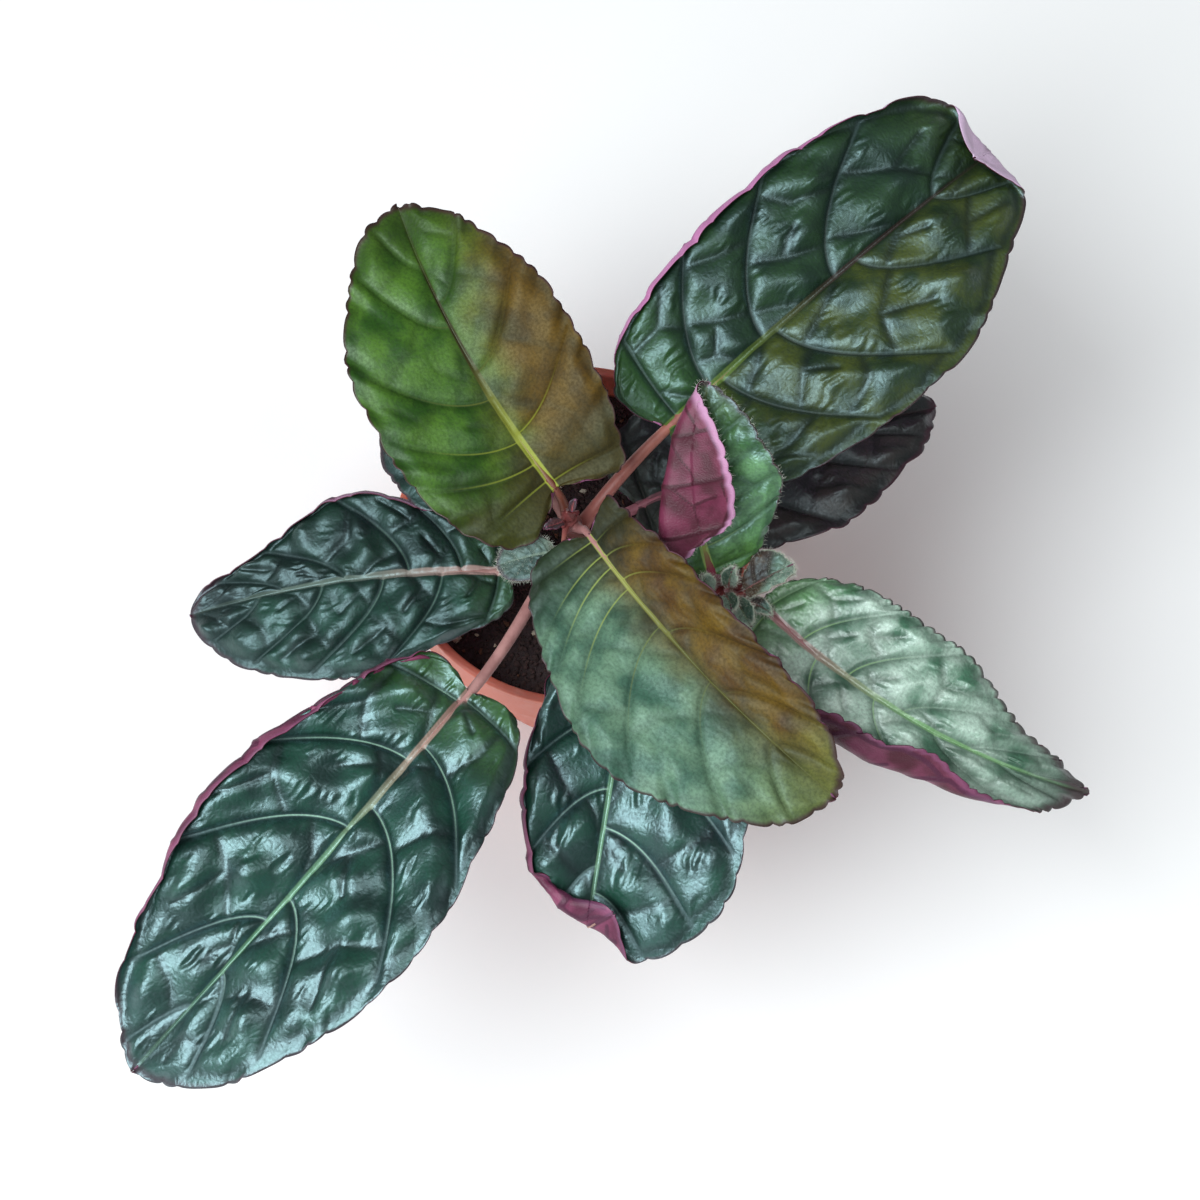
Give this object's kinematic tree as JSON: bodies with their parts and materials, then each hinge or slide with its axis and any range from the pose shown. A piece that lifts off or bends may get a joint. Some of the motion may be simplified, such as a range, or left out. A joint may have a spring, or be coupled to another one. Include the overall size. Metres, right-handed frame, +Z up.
{
  "type": "potted waffle plant",
  "caption": "Small leafy foliage plant with spreading, deeply quilted oval leaves on slender petioles, rooted in a round tapered nursery pot filled with soil.",
  "frame": {"origin": "centre of the pot's flat underside, in the plane that the pot stands on", "axes": "+Z up along the pot's axis; -Y towards the plant's front, the side that the largest low leaf points to; +X to the right seen from the front"},
  "size_m": [0.1878, 0.198, 0.1357],
  "materials": {
    "pot": "satin",
    "soil": "matte",
    "stem": "satin",
    "leaf_green": "satin",
    "leaf_bronze": "satin",
    "leaf_dark": "satin",
    "leaf_pink": "satin",
    "leaf_downy": "matte"
  },
  "bodies": {
    "root": {"pot": "pot", "soil": "soil", "main_stem": "stem", "main_bud": "stem", "side_stem": "stem", "side_bud": "stem", "leaf_front_left": "leaf_green", "leaf_back_right": "leaf_green", "leaf_top_back": "leaf_bronze", "leaf_top_front": "leaf_bronze", "leaf_left": "leaf_green", "leaf_back_left": "leaf_green", "leaf_low_right": "leaf_dark", "leaf_front": "leaf_green", "leaf_right": "leaf_green", "leaf_upright": "leaf_pink", "young_main_left": "leaf_downy", "young_side_right": "leaf_downy", "young_side_back": "leaf_downy", "young_side_front": "leaf_downy"}
  },
  "joints": []
}
